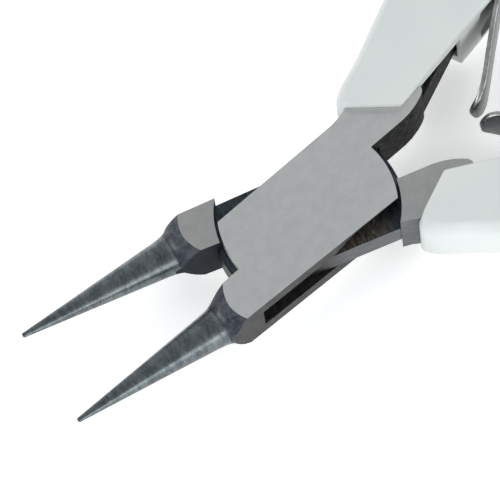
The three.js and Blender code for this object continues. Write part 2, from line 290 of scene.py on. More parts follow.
def loft(rings):
    """A closed skin over rings of points, all of one length, with a flat cap on each end ring."""
    size = len(rings[0])
    vertices = [point for ring in rings for point in ring]
    faces = []
    for k in range(len(rings) - 1):
        for i in range(size):
            a = k * size + i
            b = k * size + (i + 1) % size
            faces.append((a, b, b + size, a + size))
    last = (len(rings) - 1) * size
    faces.append(tuple(reversed(range(size))))
    faces.append(tuple(range(last, last + size)))
    return mesh_object("loft", vertices, faces)


def settle(obj):
    """Puts the result of an object's modifiers into its mesh."""
    depsgraph = bpy.context.evaluated_depsgraph_get()
    result = bpy.data.meshes.new_from_object(obj.evaluated_get(depsgraph))
    obj.modifiers.clear()
    old = obj.data
    obj.data = result
    bpy.data.meshes.remove(old)


def combine(target, tool, operation):
    """Cuts a piece with a tool, or joins or intersects them. The tool is used up."""
    modifier = target.modifiers.new("combine", "BOOLEAN")
    modifier.operation = operation
    modifier.solver = "EXACT"
    modifier.object = tool
    settle(target)
    bpy.data.objects.remove(tool)
    return target


def cut(target, tool):
    return combine(target, tool, "DIFFERENCE")


def join(target, tool):
    return combine(target, tool, "UNION")


def soften(obj, width, segments, angle, merge=0.03, chosen=None):
    """Merges points closer than merge, cleans the flat faces that the cuts left, and rounds the outward
    edges sharper than angle, in degrees. Where chosen is given, it is asked about each edge's two ends."""
    work = bmesh.new()
    work.from_mesh(obj.data)
    bmesh.ops.remove_doubles(work, verts=work.verts, dist=merge)
    bmesh.ops.dissolve_limit(work, angle_limit=math.radians(0.4), verts=work.verts, edges=work.edges)
    weights = work.edges.layers.float.new("bevel_weight_edge")
    for edge in work.edges:
        sharp = edge.is_manifold and edge.is_convex and edge.calc_face_angle(0) > math.radians(angle)
        ends = [vertex.co for vertex in edge.verts]
        edge[weights] = float(sharp and (chosen is None or chosen(*ends)))
    work.to_mesh(obj.data)
    work.free()
    bevel = obj.modifiers.new("soften", "BEVEL")
    bevel.width = width
    bevel.segments = segments
    bevel.limit_method = "WEIGHT"
    bevel.use_clamp_overlap = False
    settle(obj)


def moved(obj, matrix):
    """Carries the mesh itself along, and keeps its faces outward when the matrix mirrors."""
    obj.data.transform(matrix)
    if matrix.determinant() < 0:
        obj.data.flip_normals()
    return obj


def catmull_rom(points, stations):
    """Points spread along a centripetal Catmull-Rom curve through the given ones, evenly by parameter."""
    path = [Vector(point) for point in points]
    ends = [path[0] * 2 - path[1]] + path + [path[-1] * 2 - path[-2]]
    result = []
    for k in range(stations + 1):
        at = min(k / stations * (len(path) - 1), len(path) - 1 - 1e-9)
        span = int(at)
        result.append(catmull_rom_point(ends[span:span + 4], at - span))
    return result


def catmull_rom_point(four, share):
    """The point at a share of the way from the second of four points to the third."""
    gaps = [max((four[i + 1] - four[i]).length ** 0.5, 1e-4) for i in range(3)]
    knots = [0, gaps[0], gaps[0] + gaps[1], gaps[0] + gaps[1] + gaps[2]]
    t = knots[1] + share * gaps[1]

    def between(a, b, start, end):
        return a * ((end - t) / (end - start)) + b * ((t - start) / (end - start))

    first = between(four[0], four[1], knots[0], knots[1])
    second = between(four[1], four[2], knots[1], knots[2])
    third = between(four[2], four[3], knots[2], knots[3])
    early = between(first, second, knots[0], knots[2])
    late = between(second, third, knots[1], knots[3])
    return between(early, late, knots[1], knots[2])


def place(side):
    """From a lever's own frame to the frame of the whole tool: side is 1 for box, -1 for web."""
    turn = Matrix.Rotation(side * OPEN_ANGLE / 2, 4, "Z")
    return Matrix.Translation(pivot) @ turn @ Matrix.Diagonal((MM, side * MM, MM, 1))


def smoothstep(value, low, high):
    """0 below low, 1 above high, and a smooth rise between them."""
    share = min(max((value - low) / (high - low), 0), 1)
    return share * share * (3 - 2 * share)


# ---- Materials ----
# Each piece carries the place of its points in its lever's own frame, in millimetres, as an attribute,
# so that grinding lines and stains follow the piece and both sides share one material.

class Finish:
    """A material with one main shader, and short ways to add to it."""

    def __init__(self, name, colour, metallic, roughness):
        self.material = bpy.data.materials.new(name)
        self.material.use_nodes = True
        self.tree = self.material.node_tree
        self.shader = self.tree.nodes["Principled BSDF"]
        self.shader.inputs["Base Color"].default_value = (*colour, 1)
        self.shader.inputs["Metallic"].default_value = metallic
        self.shader.inputs["Roughness"].default_value = roughness
        self.place = self.node("ShaderNodeAttribute")
        self.place.attribute_name = "own_place"

    def node(self, kind):
        return self.tree.nodes.new(kind)

    def link(self, source, target):
        self.tree.links.new(source, target)

    def stretched(self, scale, turn=0.0, shift=(0, 0, 0)):
        """The own place, scaled along each axis, then turned about z and shifted, so that the patterns
        of a finish come from different parts of the noise."""
        mapping = self.node("ShaderNodeMapping")
        mapping.vector_type = "POINT"
        mapping.inputs["Rotation"].default_value = (0, 0, turn)
        mapping.inputs["Scale"].default_value = scale
        mapping.inputs["Location"].default_value = shift
        self.link(self.place.outputs["Vector"], mapping.inputs["Vector"])
        return mapping.outputs["Vector"]

    def noise(self, vector, scale=1.0, detail=3.0, roughness=0.5, distortion=0.0):
        noise = self.node("ShaderNodeTexNoise")
        noise.inputs["Scale"].default_value = scale
        noise.inputs["Detail"].default_value = detail
        noise.inputs["Roughness"].default_value = roughness
        noise.inputs["Distortion"].default_value = distortion
        self.link(vector, noise.inputs["Vector"])
        return noise.outputs["Fac"]

    def axis(self, vector, name):
        parts = self.node("ShaderNodeSeparateXYZ")
        self.link(vector, parts.inputs[0])
        return parts.outputs[name]

    def remap(self, value, low, high, new_low=0.0, new_high=1.0):
        node = self.node("ShaderNodeMapRange")
        node.interpolation_type = "SMOOTHSTEP"
        ends = {"From Min": low, "From Max": high, "To Min": new_low, "To Max": new_high}
        for name, number in ends.items():
            node.inputs[name].default_value = number
        self.link(value, node.inputs["Value"])
        return node.outputs["Result"]

    def product(self, first, second):
        node = self.node("ShaderNodeMath")
        node.operation = "MULTIPLY"
        self.link(first, node.inputs[0])
        self.link(second, node.inputs[1])
        return node.outputs[0]

    def ramp(self, value, stops):
        """Colours against a value from 0 to 1."""
        node = self.node("ShaderNodeValToRGB")
        elements = node.color_ramp.elements
        while len(elements) < len(stops):
            elements.new(0.5)
        for element, (position, colour) in zip(elements, stops):
            element.position = position
            element.color = (*colour, 1)
        self.link(value, node.inputs["Fac"])
        return node.outputs["Color"]

    def mix(self, factor, first, second):
        """Colours: each of first and second is a colour or an output."""
        node = self.node("ShaderNodeMix")
        node.data_type = "RGBA"
        self.link(factor, node.inputs["Factor"])
        for socket, value in ((node.inputs[6], first), (node.inputs[7], second)):
            if isinstance(value, tuple):
                socket.default_value = (*value, 1)
            else:
                self.link(value, socket)
        return node.outputs[2]

    def colour(self, output):
        self.link(output, self.shader.inputs["Base Color"])

    def roughness(self, output):
        self.link(output, self.shader.inputs["Roughness"])

    def bump(self, *layers):
        """Each layer is a height output, its strength and its depth in millimetres."""
        normal = None
        for height, strength, depth in layers:
            node = self.node("ShaderNodeBump")
            node.inputs["Strength"].default_value = strength
            node.inputs["Distance"].default_value = depth * MM
            self.link(height, node.inputs["Height"])
            if normal is not None:
                self.link(normal, node.inputs["Normal"])
            normal = node.outputs["Normal"]
        self.link(normal, self.shader.inputs["Normal"])


def ground_finish(name, dark, light, roughness, stain_and_shade=None):
    """Steel ground on a fine belt: short lines along the lever and a faint cloudiness. Given a span of x as
    its last argument, the colour darkens to brown-black from the span's first x to its second, as painted
    shade where the web's side runs in under the cheeks."""
    finish = Finish(name, light, 1.0, roughness)
    clouds = finish.noise(finish.stretched((1.0, 1.4, 1.4), 0.5), 1.0, 4, 0.6)
    grain = finish.noise(finish.stretched((2.2, 26, 26), 0.62), 1.0, 2, 0.6)
    lines = finish.noise(finish.stretched((3, 21, 21), -0.25), 1.0, 2, 0.6)
    tone = finish.mix(finish.remap(clouds, 0.3, 0.7), dark, light)
    surface = finish.mix(finish.remap(grain, 0.35, 0.9, 0, 0.2), tone, light)
    # Painted shade: brown-black towards the second x, where the web's side runs in under the cheeks.
    if stain_and_shade:
        along = finish.axis(finish.place.outputs["Vector"], "X")
        brown = finish.mix(finish.remap(grain, 0.3, 0.7), (0.018, 0.018, 0.022), (0.06, 0.052, 0.045))
        surface = finish.mix(finish.remap(along, *stain_and_shade), surface, brown)
    finish.colour(surface)
    finish.roughness(finish.remap(lines, 0.2, 0.8, roughness - 0.05, roughness + 0.08))
    finish.bump((grain, 0.14, 0.006), (lines, 0.1, 0.006))
    return finish.material


def block_side_shade_finish():
    """The inner side of each jaw block, which faces the other lever: dull blue-black with faint grinding
    lines, painted shade.
    """
    finish = Finish("block_side_painted_shade", (0.03, 0.04, 0.06), 0.0, 0.5)
    finish.shader.inputs["Specular IOR Level"].default_value = 0.06
    lines = finish.noise(finish.stretched((3, 14, 14), 0.3), 1.0, 3, 0.6)
    finish.colour(finish.mix(finish.remap(lines, 0.3, 0.75), (0.008, 0.012, 0.018), (0.022, 0.03, 0.042)))
    finish.bump((lines, 0.2, 0.008))
    return finish.material


def turned_finish():
    """The round jaws: short broken rings of a fine wheel, with darker bands and stains."""
    finish = Finish("turned_steel", (0.1, 0.1, 0.105), 1.0, 0.3)
    rings = finish.noise(finish.stretched((13, 2.2, 2.2), CONE_HALF_ANGLE), 1.0, 3, 0.7)
    bands = finish.noise(finish.stretched((1.6, 0.6, 0.6), CONE_HALF_ANGLE), 1.0, 4, 0.6, 0.3)
    blotches = finish.noise(finish.stretched((1, 1, 1), CONE_HALF_ANGLE), 0.9, 4, 0.65, 0.4)
    steel = finish.mix(finish.remap(bands, 0.3, 0.7), (0.085, 0.104, 0.112), (0.19, 0.215, 0.222))
    stain_and_shade = finish.mix(finish.remap(blotches, 0.42, 0.72, 0, 0.5), steel, (0.085, 0.08, 0.082))
    finish.colour(finish.mix(finish.remap(rings, 0.45, 0.72, 0, 0.4), stain_and_shade, (0.34, 0.36, 0.38)))
    finish.roughness(finish.remap(rings, 0.2, 0.8, 0.24, 0.36))
    finish.bump((rings, 0.22, 0.012), (blotches, 0.1, 0.02))
    return finish.material


def root_finish():
    """The flare behind each jaw, left darker and mottled blue-grey."""
    finish = Finish("jaw_root_steel", (0.09, 0.1, 0.12), 1.0, 0.42)
    blotches = finish.noise(finish.stretched((0.8, 1.3, 1.3)), 1.0, 5, 0.65, 0.15)
    fine = finish.noise(finish.stretched((7, 3, 3), CONE_HALF_ANGLE), 1.0, 3, 0.6)
    base = finish.mix(finish.remap(blotches, 0.34, 0.68), (0.03, 0.038, 0.05), (0.09, 0.095, 0.105))
    finish.colour(finish.mix(finish.remap(fine, 0.45, 0.8, 0, 0.2), base, (0.16, 0.17, 0.18)))
    finish.roughness(finish.remap(fine, 0.2, 0.8, 0.34, 0.5))
    finish.bump((blotches, 0.2, 0.03), (fine, 0.16, 0.01))
    return finish.material


def slot_shade_finish():
    """Inside the slot, in its mouth and on the web's shoulder walls: near-black steel with a faint brown
    mottle, painted shade.
    """
    finish = Finish("slot_painted_shade", (0.016, 0.02, 0.032), 0.85, 0.5)
    stain = finish.noise(finish.stretched((1.4, 1.4, 1.4)), 1.0, 4, 0.6, 0.5)
    finish.colour(finish.ramp(stain, [(0.3, (0.018, 0.019, 0.026)), (0.75, (0.075, 0.072, 0.068))]))
    finish.bump((stain, 0.2, 0.02))
    return finish.material


def recess_finish():
    """The web's broad faces: blue-black except between x of about 1.6 and 4.6, as painted shade; brown with
    straw glints there, as a painted warm reflection.
    """
    finish = Finish("web_painted_shade_and_reflection", (0.03, 0.035, 0.045), 0.9, 0.42)
    along = finish.axis(finish.place.outputs["Vector"], "X")
    streaks = finish.noise(finish.stretched((4.2, 0.8, 0.8), 0.2), 1.0, 4, 0.65, 0.3)
    glints = finish.noise(finish.stretched((3.6, 1.5, 1.5), 0.35, (4, 0, 0)), 1.0, 3, 0.6, 0.5)
    blue = finish.mix(finish.remap(streaks, 0.35, 0.7), (0.03, 0.038, 0.05), (0.075, 0.095, 0.105))
    brown = finish.mix(finish.remap(streaks, 0.35, 0.7), (0.06, 0.055, 0.045), (0.16, 0.145, 0.115))
    straw = finish.mix(finish.remap(glints, 0.5, 0.75, 0, 0.8), brown, (0.36, 0.32, 0.22))
    # Painted warm reflection between x of about 1.6 and 4.6, painted blue-black shade elsewhere.
    warm_reflection_mask = finish.product(finish.remap(along, 7.2, 4.6), finish.remap(along, 0.2, 1.6))
    finish.colour(finish.mix(warm_reflection_mask, blue, straw))
    finish.roughness(finish.remap(streaks, 0.2, 0.8, 0.32, 0.52))
    finish.bump((streaks, 0.25, 0.02))
    return finish.material


def scale_finish():
    """The neck's inner side and the tang, left as forged: brown-black scale with bare flecks, stretched
    along x into painted highlight streaks.
    """
    finish = Finish("forge_scale", (0.02, 0.018, 0.018), 0.0, 0.45)
    finish.shader.inputs["Specular IOR Level"].default_value = 0.06
    coarse = finish.noise(finish.stretched((1, 1, 1)), 1.3, 5, 0.65, 0.4)
    # Bare flecks of steel, stretched along x into painted highlight streaks.
    bare_flecks_and_highlights = finish.noise(finish.stretched((1.5, 4, 3.4), 0.35, (7, 3, 1)), 1.0, 4, 0.75)
    base = finish.mix(finish.remap(coarse, 0.35, 0.7), (0.002, 0.0025, 0.004), (0.010, 0.008, 0.007))
    finish.colour(finish.mix(finish.remap(bare_flecks_and_highlights, 0.62, 0.7), base, (0.2, 0.19, 0.18)))
    finish.roughness(finish.remap(coarse, 0.3, 0.7, 0.4, 0.6))
    finish.bump((coarse, 0.5, 0.08), (bare_flecks_and_highlights, 0.3, 0.04))
    return finish.material


def moulding_finish():
    """Hard white moulding with the fine spark-eroded texture of its mould."""
    finish = Finish("white_moulding", (0.69, 0.72, 0.7), 0.0, 0.42)
    texture = finish.noise(finish.stretched((5, 5, 5)), 1.0, 4, 0.7)
    clouds = finish.noise(finish.stretched((0.16, 0.16, 0.16)), 1.0, 3, 0.5)
    finish.colour(finish.mix(finish.remap(clouds, 0.3, 0.7), (0.675, 0.71, 0.69), (0.71, 0.735, 0.715)))
    finish.roughness(finish.remap(texture, 0.2, 0.8, 0.38, 0.5))
    finish.bump((texture, 0.18, 0.02))
    finish.shader.inputs["IOR"].default_value = 1.5
    return finish.material


def spring_finish(name, dark, light):
    """Tempered spring strip: gunmetal, with rolling lines along its length."""
    finish = Finish(name, dark, 1.0, 0.28)
    lines = finish.noise(finish.stretched((0.5, 0.5, 9)), 1.0, 3, 0.6)
    clouds = finish.noise(finish.stretched((0.7, 0.7, 0.7)), 1.0, 4, 0.6, 0.3)
    base = finish.mix(finish.remap(clouds, 0.35, 0.68), dark, light)
    finish.colour(finish.mix(finish.remap(lines, 0.4, 0.8, 0, 0.25), base, light))
    finish.roughness(finish.remap(lines, 0.2, 0.8, 0.22, 0.36))
    finish.bump((lines, 0.15, 0.006))
    return finish.material


def screw_finish():
    """Bright steel with a fine grain, for the screws and the pin."""
    finish = Finish("screw_steel", (0.3, 0.305, 0.31), 1.0, 0.28)
    grain = finish.noise(finish.stretched((6, 6, 6)), 1.0, 3, 0.6)
    finish.colour(finish.mix(finish.remap(grain, 0.3, 0.7), (0.24, 0.245, 0.25), (0.38, 0.385, 0.39)))
    finish.roughness(finish.remap(grain, 0.2, 0.8, 0.22, 0.36))
    finish.bump((grain, 0.12, 0.01))
    return finish.material


LEVER_FINISHES = {
    "face": ground_finish("ground_face", (0.595, 0.61, 0.6), (0.66, 0.665, 0.65), 0.4),
    # The sides: a lighter copy of the face steel, as painted light.
    "side": ground_finish("ground_side_painted_light", (0.82, 0.86, 0.87), (0.9, 0.92, 0.92), 0.4),
    "jaw": turned_finish(),
    "jaw root": root_finish(),
    # Painted shade in the slot, its mouth and on the shoulder walls.
    "slot": slot_shade_finish(),
    # Painted shade and painted warm reflection on the web's broad faces.
    "web": recess_finish(),
    "neck": scale_finish(),
    # The web's sides: a darker copy of the side steel as painted shade, darker still into the slot.
    "web edge": ground_finish("web_edge_painted_shade", (0.1, 0.11, 0.115), (0.15, 0.16, 0.165), 0.42, (3.2, -1.5)),
    # Painted shade on the inner sides of the jaw blocks.
    "block inside": block_side_shade_finish(),
    # The web lever's broad faces: a darker copy of the face steel, as painted shade.
    "web face": ground_finish("web_face_painted_shade", (0.42, 0.43, 0.42), (0.475, 0.48, 0.465), 0.4),
    # Painted highlight: a pale blue line along the rounded edge of each cheek's round end.
    "rim": ground_finish("rim_painted_highlight", (0.25, 0.4, 0.5), (0.35, 0.52, 0.62), 0.3),
    # The web lever's sides: a much darker copy of the side steel, as painted shade.
    "web side": ground_finish("web_side", (0.1, 0.11, 0.115), (0.15, 0.16, 0.165), 0.42),
}
WHITE = moulding_finish()
# Painted shade and highlight: the leaf's flat sides take a darkened copy of the spring steel, its faces that
# point up or down a light copy.
SHADED_SPRING = spring_finish("spring_steel", (0.035, 0.038, 0.043), (0.07, 0.074, 0.08))
SPRING_EDGE_HIGHLIGHT = spring_finish("spring_edge_painted_highlight", (0.3, 0.31, 0.3), (0.55, 0.56, 0.54))
SCREW = screw_finish()


def remember_place(mesh):
    """Keeps each point's own-frame place, in millimetres, for the materials."""
    attribute = mesh.attributes.new("own_place", "FLOAT_VECTOR", "POINT")
    for point, entry in zip(mesh.vertices, attribute.data):
        entry.vector = point.co


def complete(obj, name, side, body, nodes):
    """Names a finished piece, puts it in the tool, and hides the CAD nodes that it stands for."""
    remember_place(obj.data)
    moved(obj, place(side))
    obj.name = name
    obj.data.name = name
    obj.data.shade_smooth()
    obj.data.set_sharp_from_angle(angle=SMOOTH_ANGLE)
    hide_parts(*nodes)
    if body:
        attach(obj, body)
    return obj


def even_shading(obj):
    """Keeps the flat faces flat beside their rounded edges."""
    modifier = obj.modifiers.new("even_shading", "WEIGHTED_NORMAL")
    modifier.weight = 100
    modifier.keep_sharp = True


# ---- Steel levers ----

def plate_edge(x):
    """Half the plate's width, which grows a little towards the handle."""
    return PLATE_HALF_WIDTH + PLATE_TAPER * x


def corner_angle(x):
    """The angle at the pin of the corner where the plate's edge, near x, meets the cheek's round end."""
    edge = plate_edge(x)
    return math.atan2(edge, math.sqrt(CHEEK_RADIUS ** 2 - edge ** 2))


def plate_outline():
    """Jaw block, round-ended cheek and neck, in one outline. In front it is wide enough for the jaw."""
    handle_end = (-corner_angle(CHEEK_RADIUS), math.asin(NECK_INNER_Y / CHEEK_RADIUS))
    jaw_end = (math.pi - corner_angle(-CHEEK_RADIUS), math.pi - math.asin(BLOCK_INNER_Y / CHEEK_RADIUS))
    front = TIP_X - 1
    return [
        (front, BLOCK_OUTER_Y - JAW_ROOM), (BLOCK_FRONT, BLOCK_OUTER_Y - JAW_ROOM),
        (BLOCK_FRONT, BLOCK_OUTER_Y), *arc(CHEEK_RADIUS, *handle_end), *NECK_LOBE, *NECK_BACK,
        *arc(CHEEK_RADIUS, *jaw_end), (BLOCK_FRONT, BLOCK_INNER_Y - BLOCK_LEAN),
        (BLOCK_FRONT, JAW_ROOM), (front, JAW_ROOM),
    ]


def jaw_profile():
    """Radius of the round jaw against the distance from its tip: a rounded tip, a taper, then a flare."""
    base = TIP_RADIUS + CONE_LENGTH * math.tan(CONE_HALF_ANGLE)
    tip = [(0, 0), (TIP_RADIUS * 0.55, 0), (TIP_RADIUS * 0.87, 0.06), (TIP_RADIUS, 0.18)]
    flare = [(base + wider, CONE_LENGTH + past) for wider, past in JAW_FLARE]
    foot = [(radius, CONE_LENGTH + past) for radius, past in JAW_FOOT]
    return tip + flare + foot


def jaw_place():
    """The jaw's axis: from the tip, leaning out to the middle of the jaw block."""
    tip = Matrix.Translation((TIP_X, -(CONE_GAP + TIP_RADIUS), 0))
    return tip @ Matrix.Rotation(-math.pi / 2 - CONE_HALF_ANGLE, 4, "Z")


def lever_steel():
    """Plate with its round jaw, and the tang that runs back into the handle."""
    steel = prism(plate_outline(), -HALF_THICK, HALF_THICK)
    jaw = moved(lathe(jaw_profile()), jaw_place())
    waste = cut(block(-FAR, FLARE_END, -FAR, FAR, -FAR, FAR), jaw)
    cut(steel, waste)
    tang = prism(TANG_INNER + TANG_OUTER, -TANG_HALF_THICK, TANG_HALF_THICK)
    soften(tang, TANG_ROUNDING, 4, 60)
    return join(steel, tang)


def screw_hole(radius):
    """What the screw's hole takes away."""
    profile = [(0, -SCREW_HOLE_DEPTH), (radius, -SCREW_HOLE_DEPTH), (radius, 1), (0, 1)]
    return moved(lathe(profile, 64), screw_place())


def slot_mouth(turned, flipped):
    """A long chamfer inside a cheek's edge, from the pivot outwards, where the other lever swings out."""
    low = SLOT_HALF_THICK - 0.1
    lip = low + MOUTH_LIP
    rings = []
    for x, share in MOUTH_STATIONS:
        edge = -plate_edge(x)
        outside = edge - 1.5
        inside = edge + 0.1 + MOUTH_DEPTH * share
        high = lip + (HALF_THICK - MOUTH_COVER - lip) * share
        section = [(outside, low), (inside, low), (edge, high), (outside, high)]
        rings.append([Vector((x * turned, y * turned, z * flipped)) for y, z in section])
    return loft(rings)


def box_lever_mesh():
    """The lever with the slot between its two cheeks."""
    steel = lever_steel()
    cut(steel, block(-SLOT_REACH, SLOT_REACH, -FAR, FAR, -SLOT_HALF_THICK, SLOT_HALF_THICK))
    for turned in (1, -1):
        for flipped in (1, -1):
            cut(steel, slot_mouth(turned, flipped))
    return steel


def web_lever_mesh():
    """The lever whose two ends are joined by the thin web that runs through the slot."""
    ends = lever_steel()
    cut(ends, drum(SHOULDER_RADIUS, FAR, 2 * ROUND_STEPS))
    span = SHOULDER_RADIUS + 0.6
    narrow, wide = plate_edge(-span), plate_edge(span)
    strip = [(-span, -narrow), (span, -wide), (span, wide), (-span, narrow)]
    web = prism(strip, -WEB_HALF_THICK, WEB_HALF_THICK)
    combine(web, drum(WEB_REACH, FAR), "INTERSECT")
    return join(ends, web)


def jaw_radius_at(distance):
    """The round jaw's radius at a distance from its tip, or 0 beyond the jaw."""
    profile = jaw_profile()
    for (r0, d0), (r1, d1) in zip(profile[1:-1], profile[2:-1]):
        if d0 <= distance <= d1 and d1 > d0:
            return r0 + (r1 - r0) * (distance - d0) / (d1 - d0)
    return 0


def region(centre, normal, is_web):
    """Which finish a face of a lever has."""
    from_tip = jaw_place().inverted() @ centre
    on_jaw = abs(math.hypot(from_tip.x, from_tip.z) - jaw_radius_at(from_tip.y)) < 0.06
    reach = math.hypot(centre.x, centre.y)
    level = abs(centre.z)
    tilt = abs(normal.z)
    slanted = 0.2 < tilt < 0.95
    if from_tip.y < CONE_LENGTH - 0.25 and centre.x < BLOCK_FRONT + 2:
        return "jaw"
    if on_jaw and centre.x < FLARE_END + 0.05 and tilt < 0.999:
        return "jaw root"
    if centre.x > NECK_END_X:
        return "neck"
    if is_web and reach < WEB_REACH + 0.1 and level < WEB_HALF_THICK + 0.05:
        return "web" if tilt > 0.7 else "web edge"
    if centre.x < -SHOULDER_RADIUS and normal.y > 0.6:
        return "block inside"
    if is_web and abs(reach - SHOULDER_RADIUS) < 0.05 and tilt < 0.7:
        return "slot"
    if not is_web and level < SLOT_HALF_THICK + 0.05 and abs(centre.x) < SLOT_REACH + 0.1:
        return "slot"
    if centre.x > CHEEK_RADIUS and normal.y < -0.3 and level < HALF_THICK - 0.15:
        return "neck"
    if abs(reach - CHEEK_RADIUS) < 0.16 and slanted:
        return "rim"
    if not is_web and level < HALF_THICK - 0.25 and slanted and reach < CHEEK_RADIUS:
        return "slot"
    if tilt > 0.7:
        return "web face" if is_web else "face"
    return "web side" if is_web else "side"


def on_outer_face(start, end):
    """True for an edge that lies in the top or bottom ground face."""
    return min(abs(start.z), abs(end.z)) > HALF_THICK - 0.01


def add_lever(side, name):
    """A whole forging, each of its faces with the finish of its region."""
    is_web = side < 0
    lever = web_lever_mesh() if is_web else box_lever_mesh()
    cut(lever, drum(PIN_BORE_RADIUS, PIN_BORE_HALF_LENGTH, 96))
    cut(lever, screw_hole(SCREW_SHANK_RADIUS + 0.1))
    soften(lever, EDGE_ROUNDING, 3, 28, chosen=on_outer_face)
    for finish in LEVER_FINISHES.values():
        lever.data.materials.append(finish)
    order = list(LEVER_FINISHES)
    for face in lever.data.polygons:
        face.material_index = order.index(region(face.center, face.normal, is_web))
    complete(lever, name + "_lever_steel", side, name + "_side", [name + "_lever"])
    even_shading(lever)


# ---- Moulded handles ----

def grip_half_section(width):
    """From the middle of the inner wall over the top to the middle of the outer side."""
    bevel = min(1.05, width / 3)
    top = GRIP_HALF_THICK
    return [
        (0, 0), (0, top - 2.4), (0, top - 1.2), (0.01, top - 0.6), (0.05, top - 0.3), (0.13, top - 0.12),
        (0.27, top - 0.03), (0.45, top), (1.3, top), (width / 2, top), (width - bevel - 0.5, top),
        (width - bevel - 0.1, top - 0.01), (width - bevel + 0.12, top - 0.07),
        (width - bevel * 0.62, top - 0.31), (width - bevel * 0.35, top - 0.52),
        (width - 0.16, top - 0.86), (width - 0.04, top - 1.12), (width, top - 1.5), (width, 1.1), (width, 0),
    ]


def grip_shell():
    """The handle's outside: sections across it from its front to its tail, thickest in the hand."""
    inner_line = catmull_rom([(*point, 0) for point in GRIP_INNER], GRIP_STATIONS)
    outer_line = catmull_rom([(*point, 0) for point in GRIP_OUTER], GRIP_STATIONS)
    rings = []
    for k, (inner, outer) in enumerate(zip(inner_line, outer_line)):
        across = outer - inner
        width = across.length
        across.normalize()
        middle = (inner + outer) / 2
        beyond = max((k / GRIP_STATIONS - TAIL_SHARE) / (1 - TAIL_SHARE), 0)
        shrink = math.sqrt(1 - TAIL_NARROWING * beyond ** 2)
        swell = 1 + GRIP_SWELL * smoothstep(middle.x, *GRIP_SWELL_X)
        into_tail = min(max((middle.x - TAIL_X) / TAIL_LENGTH, 0), 1)
        rise = swell * math.sqrt(1 - TAIL_FLATTENING * into_tail ** 2) * shrink
        half = grip_half_section(width)
        around = half + [(n, -z) for n, z in reversed(half[1:-1])]
        rings.append([
            middle + across * (n - width / 2) * shrink + Vector((0, 0, z * rise)) for n, z in around
        ])
    return loft(rings)


def wall_point(x):
    """A point of the grip's inner wall, and the wall's direction there."""
    line = catmull_rom([(*point, 0) for point in GRIP_INNER], WALL_STATIONS)
    index = next(i for i, point in enumerate(line) if point.x >= x)
    return line[index], (line[index + 1] - line[index - 1]).normalized()


def screw_place():
    """The screw's own frame: its axis is Y, pointing out of the wall into the space between the handles."""
    point, along = wall_point(SCREW_ALONG)
    out = Vector((along.y, -along.x, 0))
    seat = point + out * (-CHANNEL_DEPTH + FIT_GAP + LEAF_THICKNESS + SCREW_HEAD_GAP)
    axes = Matrix((along, out, Vector((0, 0, -1)))).transposed().to_4x4()
    return Matrix.Translation(seat) @ axes


def spring_channel():
    """The groove in the grip's inner wall that the leaf's root lies in, shallow at its mouth."""
    stretch = [(wall_point(CHANNEL_MOUTH_X), CHANNEL_MOUTH_DEPTH)]
    stretch += [(wall_point(x), CHANNEL_DEPTH) for x in CHANNEL_XS]
    above = [(point.x + along.y * 3, point.y - along.x * 3) for (point, along), _ in stretch]
    floor = [(point.x - along.y * depth, point.y + along.x * depth) for (point, along), depth in stretch]
    return prism(above + floor[::-1], -CHANNEL_HALF_HEIGHT, CHANNEL_HALF_HEIGHT)


def tang_cavity():
    """The tang's own shape, larger by its clearance all round."""
    gap = TANG_CLEARANCE
    grow = [(x + gap * (x == TANG_END_X), y - gap) for x, y in TANG_INNER]
    grow += [(x + gap * (x == TANG_END_X), y + gap) for x, y in TANG_OUTER]
    return prism(grow, -TANG_HALF_THICK - gap, TANG_HALF_THICK + gap)


def grip_mesh():
    """The handle with room for the lever's neck and tang, the leaf and its screw."""
    grip = grip_shell()
    level = TANG_HALF_THICK + TANG_CLEARANCE
    cut(grip, prism(NECK_ROOM, -FAR, FAR))
    cut(grip, tang_cavity())
    cut(grip, prism(TANG_WINDOW, -level, level))
    cut(grip, prism(LOWER_WINDOW, -FAR, 0))
    cut(grip, spring_channel())
    cut(grip, screw_hole(SCREW_SHANK_RADIUS + FIT_GAP))
    soften(grip, GRIP_ROUNDING, 2, 38)
    return grip


def add_grip(side, name):
    grip = grip_mesh()
    grip.data.materials.append(WHITE)
    complete(grip, name + "_handle_moulding", side, name + "_side", [name + "_grip"])
    even_shading(grip)


# ---- Return spring ----

def leaf_line():
    """The middle of the strip, from its root in the grip's wall to its free tip."""
    lift = CHANNEL_DEPTH - FIT_GAP - LEAF_THICKNESS / 2
    root = []
    for x in LEAF_SEAT_XS:
        point, along = wall_point(x)
        root.append((point.x - along.y * lift, point.y + along.x * lift, 0))
    return catmull_rom(root + [(*point, 0) for point in LEAF_FREE], LEAF_LINE_STATIONS)


def leaf_section(half):
    """The strip's section, from its half height: two flat faces with small round edges."""
    thick = LEAF_THICKNESS / 2
    corner = min(LEAF_EDGE_RADIUS, half * 0.9)
    points = []
    for sign_across, sign_up, start in ((1, 1, 0), (-1, 1, 90), (-1, -1, 180), (1, -1, 270)):
        centre = (sign_across * (thick - corner), sign_up * (half - corner))
        for step in range(4):
            angle = math.radians(start + 30 * step)
            points.append((centre[0] + corner * math.cos(angle), centre[1] + corner * math.sin(angle)))
    return points


def point_along(line, lengths, reach):
    """The point at a distance along a line, and the line's direction there."""
    found = next(i for i, length in enumerate(lengths) if length >= reach - 1e-9)
    index = min(max(found, 1), len(line) - 2)
    share = (reach - lengths[index - 1]) / (lengths[index] - lengths[index - 1])
    point = line[index - 1].lerp(line[index], min(share, 1))
    return point, (line[index + 1] - line[index - 1]).normalized()


